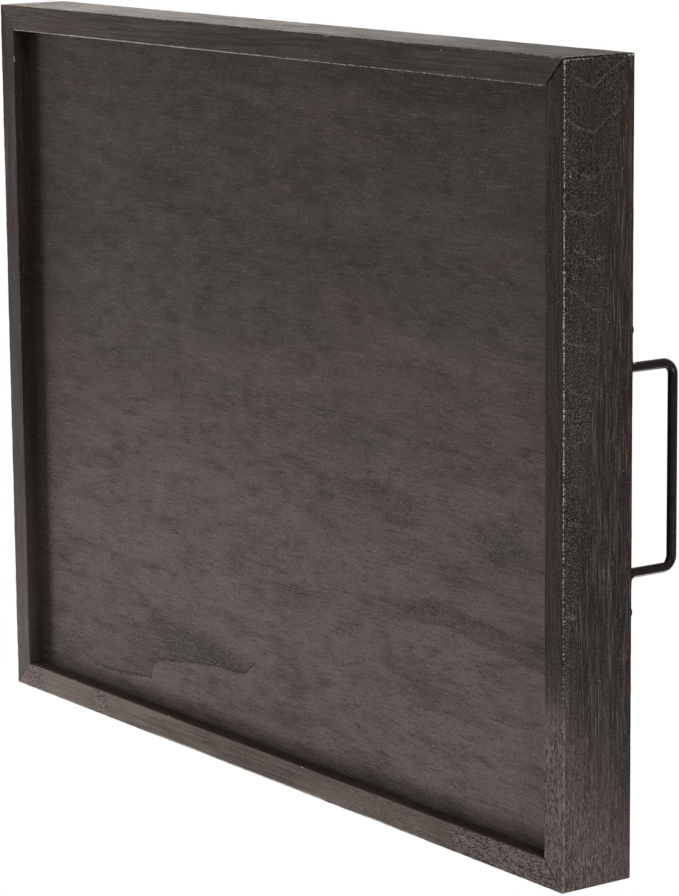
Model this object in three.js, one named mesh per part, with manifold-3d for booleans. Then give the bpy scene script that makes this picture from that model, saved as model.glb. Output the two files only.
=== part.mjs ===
// A wooden serving tray lying flat, in millimetres: X runs along it, Y across it and Z up.
// The origin is the middle of its outline on the surface that it stands on.
// Four mitred rails hold a plywood panel in a groove, and brads pin the mitres. On each short rail
// stands a handle, one bent rod whose ends are beaten flat into screw eyes.

import * as THREE from 'three';
import { mergeVertices } from 'three/addons/utils/BufferGeometryUtils.js';
import Module from 'manifold-3d';

// Overall size
const trayLength = 457.2;
const trayWidth = 355.6;

// Rails
const railThickness = 12.7;
const railHeight = 37.6;
const arrisRadius = 0.8;
const cornerRadius = 1.2;
const mitreGap = 0.3;

// Base panel, and the groove that holds it
const panelThickness = 5;
const panelLift = 8; // the panel's underside above the table
const grooveDepth = 6;
const grooveHeadroom = 0.3; // between the panel and the groove's upper lip
const panelEdgeGap = 0.6; // between the panel's edge and the bottom of the groove

// Handles, each a rod bent in one plane
const rodDiameter = 4.4;
const gripSpan = 89; // between the middle lines of the two legs
const gripRise = 27.1; // the bar's middle line above the rim
const gripBend = 5.2; // bend radius of the middle line at the bar's ends
const footBend = 3.6; // bend radius of the middle line at the legs' feet
const handleInset = railThickness / 2; // the handle's plane in from the rail's outer face

// Screw eyes at the ends of a handle
const eyeOffset = 16.5; // the eye's middle outward from the leg's middle line
const eyeDiameter = 8;
const eyeThickness = 2.2;
const eyeSeat = 0.4; // flat of the eye that shows round the screw's head, towards the rod

// Round-head wood screws
const screwDiameter = 3.5;
const screwLength = 16; // under the head
const screwPoint = 4; // length of the tapered tip
const screwHeadDiameter = 6;
const screwHeadHeight = 1.8;
const screwHeadRim = 0.4; // height of the straight rim under the dome
const crossSpan = 3.2;
const crossWidth = 0.9;
const crossDepth = 1.1;
const screwClearance = 0.3; // round the shank, and under its tip

// Corner brads
const bradDiameter = 1.2;
const bradLength = 25; // with its head
const bradPoint = 2;
const bradHeadDiameter = 2;
const bradHeadHeight = 0.6;
const bradSet = 1; // how far the head is punched below the rail's face
const bradMargin = 9.4; // a brad's distance from the rail's nearer edge
const bradInset = ( railThickness - grooveDepth ) / 2; // in the middle of the wood behind the groove
const bradHeights = { low: bradMargin, high: railHeight - bradMargin };
const bradClearance = 0.3;

// Steps along the curves
const arrisSteps = 3;
const cornerSteps = 4;
const bendSteps = 8;
const eyeSteps = 7;
const seatSteps = 2;
const taperSteps = 7;
const rodSideSteps = 8;
const domeSteps = 6;
const screwSides = 24;
const bradSides = 12;

// How far a cutter runs past the face that it opens
const overcut = 1;

const wasm = await Module();
wasm.setup();

const stainedRail = new THREE.MeshStandardMaterial( { color: 0x4a433e, roughness: 0.7, metalness: 0 } );
const stainedPanel = new THREE.MeshStandardMaterial( { color: 0x504a46, roughness: 0.75, metalness: 0 } );
const blackCoat = new THREE.MeshStandardMaterial( { color: 0x141414, roughness: 0.45, metalness: 0.3 } );
const blackScrew = new THREE.MeshStandardMaterial( { color: 0x1c1c1c, roughness: 0.4, metalness: 0.7 } );
const brightSteel = new THREE.MeshStandardMaterial( { color: 0x8f8f8c, roughness: 0.4, metalness: 1 } );

// Turns a closed geometry into a solid that can be joined and cut.
function toSolid( geometry ) {

	const shell = geometry.clone();
	shell.deleteAttribute( 'normal' );
	shell.deleteAttribute( 'uv' );
	const merged = mergeVertices( shell );
	return new wasm.Manifold( new wasm.Mesh( {
		numProp: 3,
		vertProperties: new Float32Array( merged.attributes.position.array ),
		triVerts: new Uint32Array( merged.index.array ),
	} ) );

}

// Turns a solid back into a geometry.
function toGeometry( solid ) {

	const { vertProperties, triVerts } = solid.getMesh();
	const geometry = new THREE.BufferGeometry();
	geometry.setAttribute( 'position', new THREE.BufferAttribute( vertProperties.slice(), 3 ) );
	geometry.setIndex( new THREE.BufferAttribute( triVerts.slice(), 1 ) );
	geometry.computeVertexNormals();
	return geometry;

}

// A round cutter along Z, from one height up to another.
function borer( diameter, bottom, top, sides ) {

	const radius = diameter / 2;
	const geometry = new THREE.CylinderGeometry( radius, radius, top - bottom, sides );
	geometry.rotateX( Math.PI / 2 );
	geometry.translate( 0, 0, ( bottom + top ) / 2 );
	return geometry;

}

// Lays a geometry that is made along Z on its side, so that its +Z end points along an angle in plan.
function laidAlong( geometry, angle ) {

	geometry.rotateY( Math.PI / 2 );
	geometry.rotateZ( angle );
	return geometry;

}

// Turns a profile of radius and height into a solid of revolution about Z.
function turned( profile, sides ) {

	const geometry = new THREE.LatheGeometry( profile, sides );
	geometry.rotateX( Math.PI / 2 );
	return toSolid( geometry );

}

// A rail's section: x is the depth in from the outer face and y the height. All four long edges
// are eased, and the panel's groove opens in the inner face.
function railSection() {

	const far = railThickness - arrisRadius;
	const top = railHeight - arrisRadius;
	const grooveTop = panelLift + panelThickness + grooveHeadroom;
	const grooveEnd = railThickness - grooveDepth;
	const quarter = Math.PI / 2;
	const section = new THREE.Shape();
	section.moveTo( arrisRadius, 0 );
	section.absarc( far, arrisRadius, arrisRadius, - quarter, 0 );
	section.lineTo( railThickness, panelLift );
	section.lineTo( grooveEnd, panelLift );
	section.lineTo( grooveEnd, grooveTop );
	section.lineTo( railThickness, grooveTop );
	section.absarc( far, top, arrisRadius, 0, quarter );
	section.absarc( arrisRadius, top, arrisRadius, quarter, 2 * quarter );
	section.absarc( arrisRadius, arrisRadius, arrisRadius, 2 * quarter, 3 * quarter );
	return section;

}

// The tray's outline in a rail's own plan, with the corners sanded round.
function sandedOutline( length, across ) {

	const half = length / 2 - cornerRadius;
	const back = across - cornerRadius;
	const quarter = Math.PI / 2;
	const outline = new THREE.Shape();
	outline.absarc( half, cornerRadius, cornerRadius, - quarter, 0 );
	outline.absarc( half, back, cornerRadius, 0, quarter );
	outline.absarc( - half, back, cornerRadius, quarter, 2 * quarter );
	outline.absarc( - half, cornerRadius, cornerRadius, 2 * quarter, 3 * quarter );
	return outline;

}

// A rail before drilling. It lies along X with its outer face on y = 0 and its inner face towards +Y.
// Each end of the section is drawn back by its depth, which makes the mitre.
function railBlank( length, across ) {

	const bar = new THREE.ExtrudeGeometry( railSection(), {
		depth: 1,
		bevelEnabled: false,
		curveSegments: arrisSteps,
	} );
	const points = bar.attributes.position;
	const drawBack = mitreGap / Math.SQRT2;
	for ( let i = 0; i < points.count; i ++ ) {

		const depth = points.getX( i );
		const end = points.getZ( i ) > 0.5 ? 1 : - 1;
		points.setXYZ( i, end * ( length / 2 - depth - drawBack ), depth, points.getY( i ) );

	}

	const sanded = new THREE.ExtrudeGeometry( sandedOutline( length, across ), {
		depth: railHeight + 2 * overcut,
		bevelEnabled: false,
		curveSegments: cornerSteps,
	} );
	sanded.translate( 0, 0, - overcut );
	return toSolid( bar ).intersect( toSolid( sanded ) );

}

// The hole for one brad, along Z with the rail's outer face at z = 0 and the tip below:
// a bore for the shank, and a wider one for the punched head.
function bradHole() {

	const bottom = - ( bradSet + bradLength + bradClearance );
	const headBottom = - ( bradSet + bradHeadHeight + bradClearance );
	const shank = borer( bradDiameter + 2 * bradClearance, bottom, overcut, bradSides );
	const head = borer( bradHeadDiameter + 2 * bradClearance, headBottom, overcut, bradSides );
	return toGeometry( toSolid( shank ).add( toSolid( head ) ) );

}

// A long rail: the brads pass through its outer face near both ends.
function longRail() {

	let rail = railBlank( trayLength, trayWidth );
	for ( const height of Object.values( bradHeights ) ) {

		for ( const end of [ - 1, 1 ] ) {

			const hole = laidAlong( bradHole(), - Math.PI / 2 );
			hole.translate( end * ( trayLength / 2 - bradInset ), 0, height );
			rail = rail.subtract( toSolid( hole ) );

		}

	}

	return toGeometry( rail );

}

// A short rail: the brads enter its mitred ends, and the handle's screws its upper edge.
function shortRail() {

	let rail = railBlank( trayWidth, trayLength );
	for ( const end of [ - 1, 1 ] ) {

		for ( const height of Object.values( bradHeights ) ) {

			const hole = laidAlong( bradHole(), end > 0 ? 0 : Math.PI );
			hole.translate( end * trayWidth / 2, bradInset, height );
			rail = rail.subtract( toSolid( hole ) );

		}

		const reach = screwLength - eyeThickness + screwClearance;
		const pilot = borer(
			screwDiameter + 2 * screwClearance, railHeight - reach, railHeight + overcut, screwSides );
		pilot.translate( end * ( gripSpan / 2 + eyeOffset ), handleInset, 0 );
		rail = rail.subtract( toSolid( pilot ) );

	}

	return toGeometry( rail );

}

// The plywood panel, which lies on the grooves' lower lips.
function basePanel() {

	const margin = railThickness - grooveDepth + panelEdgeGap;
	return new THREE.BoxGeometry( trayLength - 2 * margin, trayWidth - 2 * margin, panelThickness );

}

// One half of a handle's rod, from the tip of an eye to the middle of the bar, as stations in the
// handle's own plane: y along the rail from the middle of the handle, z up from the rim.
// A station's section is half a width across the plane, and half a height within it.
function halfHandle() {

	const rodRadius = rodDiameter / 2;
	const eyeRadius = eyeDiameter / 2;
	const flat = eyeThickness / 2;
	const leg = gripSpan / 2;
	const eye = leg + eyeOffset;
	const seatEnd = screwHeadDiameter / 2 + eyeSeat;
	const taperEnd = eyeOffset - footBend;
	const tip = Math.sqrt( eyeRadius ** 2 - flat ** 2 );
	const stations = [];

	// Round end of the eye: the width follows a circle.
	for ( let i = 0; i < eyeSteps; i ++ ) {

		const out = tip * Math.cos( i / eyeSteps * Math.PI / 2 );
		const width = Math.sqrt( eyeRadius ** 2 - out ** 2 );
		stations.push( { y: - eye - out, z: flat, slope: 0, width, height: flat } );

	}

	// From the eye to the round rod: the width draws in at once, and the height swells past the screw's seat.
	for ( let i = - seatSteps; i <= taperSteps; i ++ ) {

		const step = i < 0 ? seatEnd / seatSteps : ( taperEnd - seatEnd ) / taperSteps;
		const along = seatEnd + i * step;
		const narrowing = THREE.MathUtils.smoothstep( along, 0, taperEnd );
		const swelling = THREE.MathUtils.smoothstep( along, seatEnd, taperEnd );
		const width = THREE.MathUtils.lerp( eyeRadius, rodRadius, narrowing );
		const height = THREE.MathUtils.lerp( flat, rodRadius, swelling );
		stations.push( { y: - eye + along, z: height, slope: 0, width, height } );

	}

	// The bend from the foot up into the leg, and the bend from the leg into the bar.
	for ( let i = 1; i <= bendSteps; i ++ ) {

		const slope = i / bendSteps * Math.PI / 2;
		const y = - leg - footBend + footBend * Math.sin( slope );
		const z = rodRadius + footBend - footBend * Math.cos( slope );
		stations.push( { y, z, slope, width: rodRadius, height: rodRadius } );

	}

	for ( let i = 0; i <= bendSteps; i ++ ) {

		const slope = ( 1 - i / bendSteps ) * Math.PI / 2;
		const y = - leg + gripBend - gripBend * Math.sin( slope );
		const z = gripRise - gripBend + gripBend * Math.cos( slope );
		stations.push( { y, z, slope, width: rodRadius, height: rodRadius } );

	}

	return stations;

}

// A station's section: two half circles of the section's height, joined by flats. With equal width and
// height it is a circle.
function stationRing( { y, z, slope, width, height } ) {

	const ring = [];
	for ( const side of [ - 1, 1 ] ) {

		for ( let i = 0; i <= rodSideSteps; i ++ ) {

			const turn = side * ( i / rodSideSteps - 0.5 ) * Math.PI;
			const across = side * ( width - height + height * Math.cos( turn ) );
			const up = height * Math.sin( turn );
			ring.push( new THREE.Vector3( across, y - up * Math.sin( slope ), z + up * Math.cos( slope ) ) );

		}

	}

	return ring;

}

// Skins a row of rings with equal counts, and closes both ends.
function loft( rings ) {

	const count = rings[ 0 ].length;
	const last = ( rings.length - 1 ) * count;
	const faces = [];
	for ( let row = 0; row < last; row += count ) {

		for ( let i = 0; i < count; i ++ ) {

			const next = ( i + 1 ) % count;
			faces.push( row + i, row + count + next, row + next );
			faces.push( row + i, row + count + i, row + count + next );

		}

	}

	for ( let i = 1; i < count - 1; i ++ ) {

		faces.push( 0, i, i + 1 );
		faces.push( last, last + i + 1, last + i );

	}

	const geometry = new THREE.BufferGeometry().setFromPoints( rings.flat() );
	geometry.setIndex( faces );
	return geometry;

}

// A whole handle, standing on the rim at z = 0, with its screw holes drilled through the eyes.
function handle() {

	const half = halfHandle();
	const otherHalf = half.map( ( station ) => ( { ...station, y: - station.y, slope: - station.slope } ) );
	const stations = [ ...half, ...otherHalf.reverse() ];
	let rod = toSolid( loft( stations.map( stationRing ) ) );
	for ( const end of [ - 1, 1 ] ) {

		const hole = borer(
			screwDiameter + 2 * screwClearance, - overcut, eyeThickness + overcut, screwSides );
		hole.translate( 0, end * ( gripSpan / 2 + eyeOffset ), 0 );
		rod = rod.subtract( toSolid( hole ) );

	}

	return toGeometry( rod );

}

// A round-head screw with the underside of its head at z = 0 and its shank below, and a cross recess.
function handleScrew() {

	const shank = screwDiameter / 2;
	const head = screwHeadDiameter / 2;
	const dome = screwHeadHeight - screwHeadRim;
	const profile = [
		new THREE.Vector2( 0, - screwLength ),
		new THREE.Vector2( shank, screwPoint - screwLength ),
		new THREE.Vector2( shank, 0 ),
		new THREE.Vector2( head, 0 ),
	];
	for ( let i = 0; i < domeSteps; i ++ ) {

		const rise = i / domeSteps * Math.PI / 2;
		profile.push( new THREE.Vector2( head * Math.cos( rise ), screwHeadRim + dome * Math.sin( rise ) ) );

	}

	profile.push( new THREE.Vector2( 0, screwHeadHeight ) );
	let screw = turned( profile, screwSides );
	for ( const [ x, y ] of [ [ crossSpan, crossWidth ], [ crossWidth, crossSpan ] ] ) {

		const slot = new THREE.BoxGeometry( x, y, 2 * crossDepth );
		slot.translate( 0, 0, screwHeadHeight );
		screw = screw.subtract( toSolid( slot ) );

	}

	return toGeometry( screw );

}

// A brad along Z with the top of its head at z = 0 and its point below.
function cornerBrad() {

	const shank = bradDiameter / 2;
	const head = bradHeadDiameter / 2;
	return toGeometry( turned( [
		new THREE.Vector2( 0, - bradLength ),
		new THREE.Vector2( shank, bradPoint - bradLength ),
		new THREE.Vector2( shank, - bradHeadHeight ),
		new THREE.Vector2( head, - bradHeadHeight ),
		new THREE.Vector2( head, 0 ),
		new THREE.Vector2( 0, 0 ),
	], bradSides ) );

}

const tray = new THREE.Group();

// Adds a named piece and returns it for placing.
function addPiece( name, geometry, material, parent = tray ) {

	const piece = new THREE.Mesh( geometry, material );
	piece.name = name;
	parent.add( piece );
	return piece;

}

// Left is -X, right is +X, front is -Y and back is +Y.
const ends = { left: - 1, right: 1 };
const sides = { front: - 1, back: 1 };

for ( const [ side, way ] of Object.entries( sides ) ) {

	const rail = addPiece( `long_rail_${ side }`, longRail(), stainedRail );
	rail.position.y = way * trayWidth / 2;
	rail.rotation.z = way > 0 ? Math.PI : 0;

}

for ( const [ end, way ] of Object.entries( ends ) ) {

	const rail = addPiece( `short_rail_${ end }`, shortRail(), stainedRail );
	rail.position.x = way * trayLength / 2;
	rail.rotation.z = way * Math.PI / 2;

}

const panel = addPiece( 'base_panel', basePanel(), stainedPanel );
panel.position.z = panelLift + panelThickness / 2;

for ( const [ end, way ] of Object.entries( ends ) ) {

	const onRim = new THREE.Group();
	onRim.position.set( way * ( trayLength / 2 - handleInset ), 0, railHeight );
	tray.add( onRim );
	addPiece( `handle_${ end }`, handle(), blackCoat, onRim );
	for ( const [ side, along ] of Object.entries( sides ) ) {

		const screw = addPiece( `handle_screw_${ end }_${ side }`, handleScrew(), blackScrew, onRim );
		screw.position.set( 0, along * ( gripSpan / 2 + eyeOffset ), eyeThickness );

	}

}

for ( const [ side, along ] of Object.entries( sides ) ) {

	for ( const [ end, way ] of Object.entries( ends ) ) {

		for ( const [ level, height ] of Object.entries( bradHeights ) ) {

			const lying = laidAlong( cornerBrad(), along * Math.PI / 2 );
			const brad = addPiece( `corner_brad_${ side }_${ end }_${ level }`, lying, brightSteel );
			const x = way * ( trayLength / 2 - bradInset );
			brad.position.set( x, along * ( trayWidth / 2 - bradSet ), height );

		}

	}

}

export default tray;
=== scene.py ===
"""The looks of a dark stained serving tray: worn mitred rails, a veneered panel and two black rod handles.

Everything is in metres in the tray's own frame: X runs along it, Y across it and Z up from the table.
The camera looks at the underside, with the tray's back rail at the top of the picture.
"""

import bpy
import numpy as np
from mathutils import Euler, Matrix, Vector


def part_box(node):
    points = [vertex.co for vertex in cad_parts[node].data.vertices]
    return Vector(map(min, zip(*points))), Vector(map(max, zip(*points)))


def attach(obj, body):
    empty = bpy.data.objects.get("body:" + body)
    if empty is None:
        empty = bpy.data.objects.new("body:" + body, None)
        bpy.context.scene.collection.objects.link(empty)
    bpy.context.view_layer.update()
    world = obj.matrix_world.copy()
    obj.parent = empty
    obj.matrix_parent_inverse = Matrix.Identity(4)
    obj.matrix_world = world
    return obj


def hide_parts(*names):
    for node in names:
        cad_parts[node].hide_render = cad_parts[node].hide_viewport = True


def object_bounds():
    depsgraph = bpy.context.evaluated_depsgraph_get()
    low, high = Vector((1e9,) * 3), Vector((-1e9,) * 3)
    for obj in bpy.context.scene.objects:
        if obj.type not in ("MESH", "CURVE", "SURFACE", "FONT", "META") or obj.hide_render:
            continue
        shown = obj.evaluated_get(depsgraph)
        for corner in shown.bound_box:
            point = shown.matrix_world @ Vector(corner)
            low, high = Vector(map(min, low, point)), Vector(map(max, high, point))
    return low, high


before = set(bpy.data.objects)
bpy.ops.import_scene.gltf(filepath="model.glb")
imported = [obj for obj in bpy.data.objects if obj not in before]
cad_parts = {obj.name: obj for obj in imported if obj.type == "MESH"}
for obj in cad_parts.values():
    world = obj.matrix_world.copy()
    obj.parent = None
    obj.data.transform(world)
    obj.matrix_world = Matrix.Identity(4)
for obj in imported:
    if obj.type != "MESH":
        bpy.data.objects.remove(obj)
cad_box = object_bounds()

MM = 0.001
HAIR = 0.01 * MM  # too small to see
ROOT = "root"

# Sizes that the frame shows
TRAY_HALF_LENGTH = cad_box[1].x
TRAY_HALF_WIDTH = cad_box[1].y
rail_low, rail_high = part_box("short_rail_left")
RAIL_THICKNESS = rail_high.x - rail_low.x
RAIL_HEIGHT = rail_high.z
panel_low, panel_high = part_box("base_panel")

# Rails
RAIL_CORNERS = np.array([(0, 0), (1, 0), (1, 1), (0, 1)]) * (RAIL_THICKNESS, RAIL_HEIGHT)
ARRIS_RADIUS = 0.75 * MM
ARRIS_SHARE = (1.0, 0.55, 1.0, 1.0)  # outer low, inner low, inner high, outer high
ARRIS_FRESH = 0.8  # share of the radius that an unworn arris has
ARRIS_WORN = 0.45  # share that full wear adds to it
ARRIS_ROUGH = 0.1
ARRIS_LEAST = 0.25 * MM
CORNER_RADIUS = 1.2 * MM
GROOVE_DEPTH = 6 * MM
GROOVE_HEADROOM = 0.3 * MM
SANDED_OFF = 0.08 * MM  # how far a finished face lies inside the sawn size
FACE_RIPPLE = 0.03 * MM
RIPPLE_WAVES = (70 * MM, 7 * MM)  # longest and shortest
DINGS = 26
DING_RADIUS = (0.8 * MM, 2.2 * MM)  # least and most
DING_DEPTH = (0.03 * MM, 0.12 * MM)
RAIL_STEP = 0.8 * MM  # between the stations along a rail
END_STEPS = np.array([0, 0.1, 0.2, 0.35, 0.5, 0.7, 0.95, 1.25, 1.6, 2.1]) * MM
ARC_STEPS = 6
FACE_POINTS = {"under": 14, "lip": 6, "inner": 14, "rim": 14, "outer": 26}

# Wear, stain and painted shade on the rails
WEAR_REACH = 0.62 * MM  # how far pale wear runs in from an arris
WEAR_WAVES = (16 * MM, 1.8 * MM)
WEAR_ROUGH = 0.08
DARK_ARRIS_ROUGH = 0.15  # share of the roughness that a dark arris keeps
DARK_BAND = 2.2  # darkening beyond leaning wear, for wear above the next value
DARK_BAND_FROM = 0.4
DARK_BAND_REACH = (0.65, 1.5)  # inwards and up, as shares of the lean
# Painted shade on the lip under the panel, where the recess is in shade
LIP_SHADE = 0.25
LIP_FACE = 0.1 * MM  # how close to the inner face the lip's painted shade keeps
LIP_RISE = (0.8 * MM, 5 * MM)  # heights between which the lip's painted shade gathers
TIP_REACH = (1.3 * MM, 1.2 * MM)  # along the rail and in from its face
TIP_FOOT = 13 * MM
TIP_HEAD = 4 * MM
TIP_HEAD_SHARE = 0.6
TIP_LEAST = 0.25

# Mitres, with the glue's outline as depth in from the outer face and drop from the rim
MITRE_SLIT = 0.15 * MM  # half of the opening at a closed mitre
GLUE_FILL = 0.96  # share of the joint's opening that glue fills
GLUE_DEPTHS = np.array([4.6, 6.6, 6.6, 11.3, 11.3, 1.3, 1.3, 4.6]) * MM
GLUE_DROPS = np.array([36.8, 36.8, 8.0, 6.6, 0.2, 0.2, 6.6, 8.0]) * MM

# Panel
PANEL_STATIONS = 150
PANEL_POINTS = 110
PANEL_WARP = 0.12 * MM
PANEL_WAVES = (220 * MM, 40 * MM)
PANEL_HELD = (6 * MM, 30 * MM)  # from the edge: held flat up to the first, free from the second

# Handles, each a rod bent in one plane
ROD_RADIUS = 2.2 * MM
GRIP_HALF_SPAN = 44.5 * MM
GRIP_RISE = 27.1 * MM
GRIP_BEND = 5.2 * MM
FOOT_BEND = 3.6 * MM
EYE_OFFSET = 16.5 * MM
EYE_RADIUS = 4.0 * MM
EYE_FLAT = 1.1 * MM  # half the eye's thickness
EYE_SEAT = 0.4 * MM
EYE_STEPS = 18
TAPER_STEPS = 30
BEND_STEPS = 22
BAR_STEPS = 16
ROD_POINTS = 17  # on half of the section

# Handle screws
SCREW_HEAD_RADIUS = 3.0 * MM
SCREW_HEAD_HEIGHT = 1.8 * MM
SCREW_HEAD_RIM = 0.4 * MM
SCREW_LENGTH = 16 * MM
SCREW_POINT = 4 * MM
SCREW_TIP = 0.1 * MM  # left for the very tip
SCREW_CORE = 1.25 * MM
SCREW_CREST = 1.75 * MM
SCREW_PITCH = 1.4 * MM
SCREW_PLAIN = 2.5 * MM  # plain neck under the head
CROSS_SPAN = 1.6 * MM  # half the cross's length
CROSS_WIDTH = 0.45 * MM  # half an arm's width
CROSS_DEPTH = 1.1 * MM
CROSS_WALL = 0.14 * MM  # half the width of an arm's sloping side
THREAD_RISE = 3.2  # steepness of the thread's sides
SCREW_SIDES = 96
DOME_STEPS = 48
SHANK_STEPS = 150

# Filler over the sunk corner brads
FILLER_RADIUS = 1.25 * MM
FILLER_DEPTH = 0.9 * MM
FILLER_PROUD = 0.035 * MM
FILLER_SIDES = 40
BRAD_MARGIN = 9.4 * MM
BRAD_INSET = 3.35 * MM

SHARP_EDGE = np.radians(40)  # edges that fold by more than this are shaded sharp


# Plain helpers for shapes

def smooth(value, low, high):
    """Rises from 0 at low to 1 at high along 3t^2 - 2t^3."""
    share = np.clip((value - low) / (high - low), 0, 1)
    return share * share * (3 - 2 * share)


def wander(along, seed, longest, shortest, count=14):
    """A smooth random line of unit spread: cosines of many lengths, with random phases, added together."""
    draw = np.random.default_rng(seed)
    lengths = np.geomspace(longest, shortest, count)
    phases = draw.uniform(0, 2 * np.pi, count)
    strengths = np.sqrt(lengths / longest)
    waves = strengths * np.cos(2 * np.pi * np.asarray(along)[..., None] / lengths + phases)
    return waves.sum(-1) / np.sqrt((strengths ** 2).sum() / 2)


def rolling(x, y, seed, longest, shortest, count=14):
    """A smooth random surface of unit spread: plane waves of many lengths and directions added together."""
    draw = np.random.default_rng(seed)
    lengths = np.geomspace(longest, shortest, count)
    headings = draw.uniform(0, np.pi, count)
    phases = draw.uniform(0, 2 * np.pi, count)
    strengths = np.sqrt(lengths / longest)
    total = np.zeros(np.broadcast(x, y).shape)
    for length, heading, phase, strength in zip(lengths, headings, phases, strengths):
        run = x * np.cos(heading) + y * np.sin(heading)
        total += strength * np.cos(2 * np.pi * run / length + phase)
    return total / np.sqrt((strengths ** 2).sum() / 2)


def skin(points, poles=(None, None)):
    """Quads round a grid of closed rings (stations, ring, 3), with a pole point or a flat face at each end.

    Returns the vertices, the quads and the closing faces, all facing outwards: the sign of the enclosed
    volume says whether they have to be turned round."""
    stations, count = points.shape[:2]
    index = np.arange(stations * count).reshape(stations, count)
    here, onward = index[:-1], index[1:]
    quads = np.stack([here, np.roll(here, -1, 1), np.roll(onward, -1, 1), onward], -1).reshape(-1, 4)
    vertices = points.reshape(-1, 3)
    closing = []
    for ring, pole, turned in ((index[0], poles[0], True), (index[-1], poles[1], False)):
        loop = ring[::-1] if turned else ring
        if pole is None:
            closing.append(loop[None])
        else:
            tip = np.full(count, len(vertices))
            vertices = np.vstack([vertices, pole])
            closing.append(np.stack([loop, np.roll(loop, -1), tip], -1))
    middle = vertices.mean(0)
    a, b, c, d = (vertices[quads[:, k]] - middle for k in range(4))
    volume = (np.cross(b - a, c - a) * a).sum() + (np.cross(c - a, d - a) * a).sum()
    if volume < 0:
        quads = quads[:, ::-1]
        closing = [faces[:, ::-1] for faces in closing]
    return vertices, quads, closing


def add_piece(name, built, material, node=None, attributes=None):
    """Puts a skin into a mesh object at the origin that rides on the tray and stands for its frame node."""
    vertices, quads, closing = built
    faces = [quads, *closing]
    corners = np.concatenate([block.ravel() for block in faces])
    sizes = np.concatenate([np.full(len(block), block.shape[1]) for block in faces])
    mesh = bpy.data.meshes.new(name)
    mesh.vertices.add(len(vertices))
    mesh.vertices.foreach_set("co", vertices.astype(np.float32).ravel())
    mesh.loops.add(len(corners))
    mesh.loops.foreach_set("vertex_index", corners.astype(np.int32))
    mesh.polygons.add(len(sizes))
    mesh.polygons.foreach_set("loop_start", (np.cumsum(sizes) - sizes).astype(np.int32))
    mesh.update(calc_edges=True)
    mesh.validate()
    mesh.shade_smooth()
    mesh.set_sharp_from_angle(angle=SHARP_EDGE)
    for label, values in (attributes or {}).items():
        layer = mesh.attributes.new(label, "FLOAT", "POINT")
        layer.data.foreach_set("value", values.astype(np.float32).ravel())
    mesh.materials.append(material)
    piece = bpy.data.objects.new(name, mesh)
    bpy.context.scene.collection.objects.link(piece)
    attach(piece, ROOT)
    if node:
        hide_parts(node)


# Rails

def rail_section(radii):
    """The ring round a rail's section at every station, as (depth in from the outer face, height).

    Quarter arcs of the four arris radii are joined by straight faces, whose points crowd towards the
    arrises, and the groove for the panel is cut into the inner face."""
    stations = len(radii)
    travel = np.array([(0, -1), (1, 0), (0, 1), (-1, 0)])
    turn = np.linspace(0, np.pi / 2, ARC_STEPS + 1)[None, :, None]
    arcs = []
    for k in range(4):
        radius = radii[:, k, None, None]
        arriving = (1 - np.sin(turn)) * travel[k]
        leaving = (1 - np.cos(turn)) * travel[(k + 1) % 4]
        arcs.append(RAIL_CORNERS[k] + radius * (leaving - arriving))

    def face(start, end, count):
        share = (1 - np.cos(np.pi * np.linspace(0, 1, count + 2)[1:-1])) / 2
        return start[:, None] + (end - start)[:, None] * share[None, :, None]

    floor = RAIL_THICKNESS - GROOVE_DEPTH
    sill, head = panel_low.z, panel_high.z + GROOVE_HEADROOM
    groove = np.array([(RAIL_THICKNESS, sill), (floor, sill), (floor, head), (RAIL_THICKNESS, head)])
    groove = np.tile(groove, (stations, 1, 1))
    faces = [
        face(arcs[0][:, -1], arcs[1][:, 0], FACE_POINTS["under"]),
        np.concatenate([
            face(arcs[1][:, -1], groove[:, 0], FACE_POINTS["lip"]),
            groove,
            face(groove[:, -1], arcs[2][:, 0], FACE_POINTS["inner"]),
        ], 1),
        face(arcs[2][:, -1], arcs[3][:, 0], FACE_POINTS["rim"]),
        face(arcs[3][:, -1], arcs[0][:, 0], FACE_POINTS["outer"]),
    ]
    return np.concatenate([part for pair in zip(arcs, faces) for part in pair], 1)


def joint_opening(opening, depth, height):
    """How far a rail's end face stands back from the mitre's middle plane: from the given opening at the
    outer and inner faces of the underside, it narrows evenly to a fine slit at the rim."""
    outer, inner = np.array(opening) * MM
    closed = height / RAIL_HEIGHT
    return MITRE_SLIT * closed + (outer + (inner - outer) * depth / RAIL_THICKNESS) * (1 - closed)


def arris_state(run, wear_and_shade_knots, chips, seed):
    """The radius and the wear of the four arrises at every station, wear below zero being darkening, partly
    painted shade: both follow the knots and wander a little along the run, and a chip is a short swelling of
    both on one arris."""
    radii = np.empty((len(run), 4))
    worn = np.empty((len(run), 4))
    for k in range(4):
        level = np.interp(run / MM, *np.array(wear_and_shade_knots[k]).T)
        rough = wander(run, seed + k, *WEAR_WAVES) * np.where(level < 0, DARK_ARRIS_ROUGH, 1)
        worn[:, k] = level * (1 + WEAR_ROUGH * rough)
        share = ARRIS_FRESH + ARRIS_WORN * np.clip(level, 0, 1) + ARRIS_ROUGH * rough
        radii[:, k] = ARRIS_SHARE[k] * ARRIS_RADIUS * share
    for k, centre, length, bite in chips:
        bump = np.exp(-((run / MM - centre) / length) ** 2)
        radii[:, k] += bite * MM * bump
        worn[:, k] += bump
    return np.maximum(radii, ARRIS_LEAST), worn


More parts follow.
